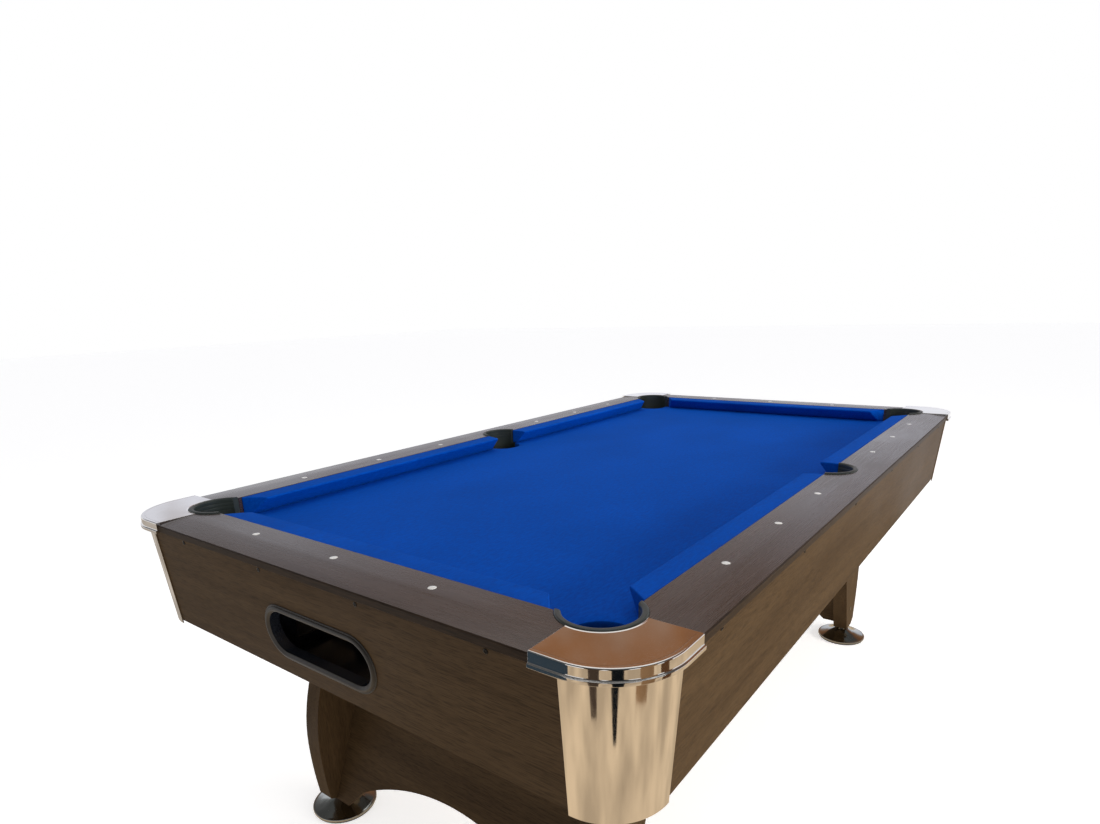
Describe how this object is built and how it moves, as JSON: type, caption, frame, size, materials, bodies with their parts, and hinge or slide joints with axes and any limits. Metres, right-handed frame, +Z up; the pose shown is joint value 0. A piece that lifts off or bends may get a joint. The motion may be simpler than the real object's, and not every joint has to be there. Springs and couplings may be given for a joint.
{
  "type": "pool table",
  "caption": "Home pool table with cloth bed, cushions, six pockets, chromed corners, a ball-return window, plank legs and levelling feet.",
  "frame": {"origin": "centre of the table on the floor, under the middle of the bounding box", "axes": "+Z up, +Y along the length away from the ball-return end, +X across"},
  "size_m": [1.247, 2.177, 0.821],
  "materials": {
    "laminate": "satin",
    "raw_board": "matte",
    "cloth": "matte",
    "sight": "gloss",
    "liner": "satin",
    "chrome": "polished",
    "channel": "matte",
    "box": "gloss",
    "trim": "satin",
    "insert": "satin",
    "bolt": "satin",
    "cover": "satin",
    "screw": "satin",
    "sole": "matte"
  },
  "bodies": {
    "table": {"front_apron": "laminate", "rear_apron": "laminate", "left_apron": "laminate", "right_apron": "laminate", "corner_gussets": "raw_board", "bed_board": "raw_board", "bed_cloth": "cloth", "long_beams": "raw_board", "cross_beams": "raw_board", "front_leg_mount": "raw_board", "rear_leg_mount": "raw_board", "front_rail": "laminate", "rear_rail": "laminate", "left_rail": "laminate", "right_rail": "laminate", "front_cushion": "cloth", "rear_cushion": "cloth", "left_front_cushion": "cloth", "left_rear_cushion": "cloth", "right_front_cushion": "cloth", "right_rear_cushion": "cloth", "rail_sights": "sight", "liner_front_left": "liner", "liner_front_right": "liner", "liner_rear_left": "liner", "liner_rear_right": "liner", "liner_left_side": "liner", "liner_right_side": "liner", "cap_front_left": "chrome", "cap_front_right": "chrome", "cap_rear_left": "chrome", "cap_rear_right": "chrome", "skirt_front_left": "chrome", "skirt_front_right": "chrome", "skirt_rear_left": "chrome", "skirt_rear_right": "chrome", "left_gutter": "channel", "right_gutter": "channel", "left_ramp": "channel", "right_ramp": "channel", "ball_box": "box", "window_trim": "trim", "leg_front_left": "laminate", "leg_front_right": "laminate", "leg_rear_left": "laminate", "leg_rear_right": "laminate", "front_arch_panel": "laminate", "rear_arch_panel": "laminate", "foot_inserts": "insert", "leg_bolts": "bolt", "cover_caps": "cover", "apron_screws": "screw"},
    "foot_front_left": {"sole_front_left": "sole"},
    "knob_front_left": {"disc_front_left": "chrome"},
    "foot_front_right": {"sole_front_right": "sole"},
    "knob_front_right": {"disc_front_right": "chrome"},
    "foot_rear_left": {"sole_rear_left": "sole"},
    "knob_rear_left": {"disc_rear_left": "chrome"},
    "foot_rear_right": {"sole_rear_right": "sole"},
    "knob_rear_right": {"disc_rear_right": "chrome"}
  },
  "joints": [
    {"name": "lift_front_left", "type": "slide", "parent": "table", "child": "foot_front_left", "axis": [0, 0, -1], "range_m": [0, 0.015]},
    {"name": "turn_front_left", "type": "hinge", "parent": "foot_front_left", "child": "knob_front_left", "pos_m": [-0.395, -0.815, 0.02], "axis": [0, 0, -1], "range_deg": [0, 2700]},
    {"name": "lift_front_right", "type": "slide", "parent": "table", "child": "foot_front_right", "axis": [0, 0, -1], "range_m": [0, 0.015]},
    {"name": "turn_front_right", "type": "hinge", "parent": "foot_front_right", "child": "knob_front_right", "pos_m": [0.395, -0.815, 0.02], "axis": [0, 0, -1], "range_deg": [0, 2700]},
    {"name": "lift_rear_left", "type": "slide", "parent": "table", "child": "foot_rear_left", "axis": [0, 0, -1], "range_m": [0, 0.015]},
    {"name": "turn_rear_left", "type": "hinge", "parent": "foot_rear_left", "child": "knob_rear_left", "pos_m": [-0.395, 0.815, 0.02], "axis": [0, 0, -1], "range_deg": [0, 2700]},
    {"name": "lift_rear_right", "type": "slide", "parent": "table", "child": "foot_rear_right", "axis": [0, 0, -1], "range_m": [0, 0.015]},
    {"name": "turn_rear_right", "type": "hinge", "parent": "foot_rear_right", "child": "knob_rear_right", "pos_m": [0.395, 0.815, 0.02], "axis": [0, 0, -1], "range_deg": [0, 2700]}
  ],
  "couplings": [
    {"joint": "lift_front_left", "follows": "turn_front_left", "m_per_rad": 0.00031831},
    {"joint": "lift_front_right", "follows": "turn_front_right", "m_per_rad": 0.00031831},
    {"joint": "lift_rear_left", "follows": "turn_rear_left", "m_per_rad": 0.00031831},
    {"joint": "lift_rear_right", "follows": "turn_rear_right", "m_per_rad": 0.00031831}
  ]
}
